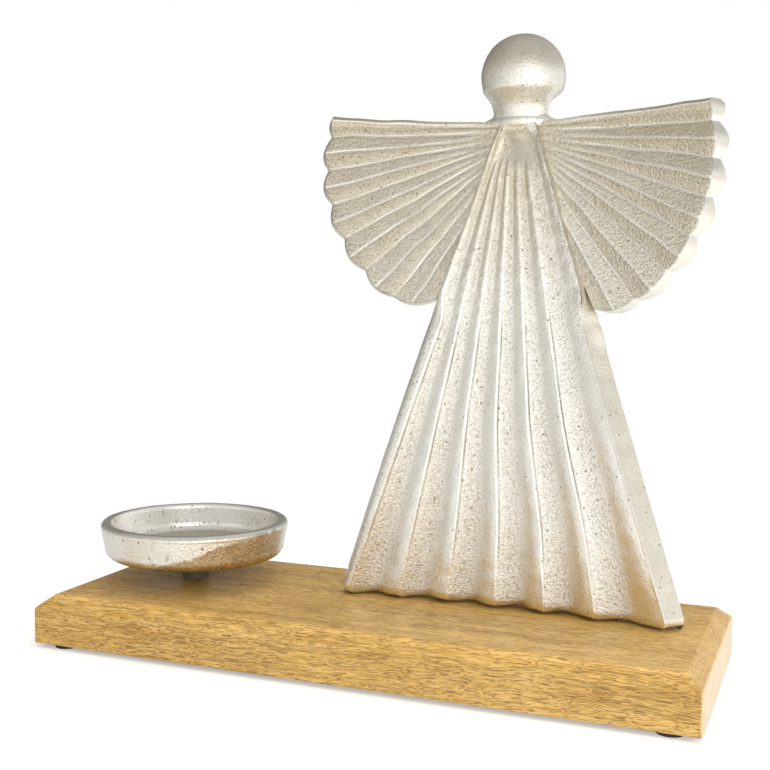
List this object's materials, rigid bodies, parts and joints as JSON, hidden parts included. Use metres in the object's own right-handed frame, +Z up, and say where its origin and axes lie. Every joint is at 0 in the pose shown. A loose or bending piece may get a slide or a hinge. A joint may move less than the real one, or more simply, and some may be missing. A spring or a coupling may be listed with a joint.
{
  "type": "angel candle holder",
  "caption": "Cast metal angel with a pleated dress, fan wings and a ball head beside a shallow metal candle dish, both screwed to a chamfered wood base on rubber pads.",
  "frame": {"origin": "on the ground plane, under the middle of the wood base", "axes": "+X along the base towards the angel's end, +Z up, the front faces -Y"},
  "size_m": [0.3, 0.115, 0.2775],
  "materials": {
    "wood": "oiled, satin, with fine open pores along the length",
    "cast_metal": "sand cast with a warm champagne tint, grainy with smoother ridges",
    "polished_metal": "cast, turned and polished, with small pits",
    "steel": "zinc plated",
    "rubber": "matt black"
  },
  "bodies": {
    "root": {"wood_base": "wood", "angel_figure": "cast_metal", "candle_dish": "polished_metal", "dish_screw": "steel", "figure_screw_left": "steel", "figure_screw_right": "steel", "foot_pad_front_left": "rubber", "foot_pad_front_right": "rubber", "foot_pad_back_left": "rubber", "foot_pad_back_right": "rubber"}
  },
  "joints": []
}
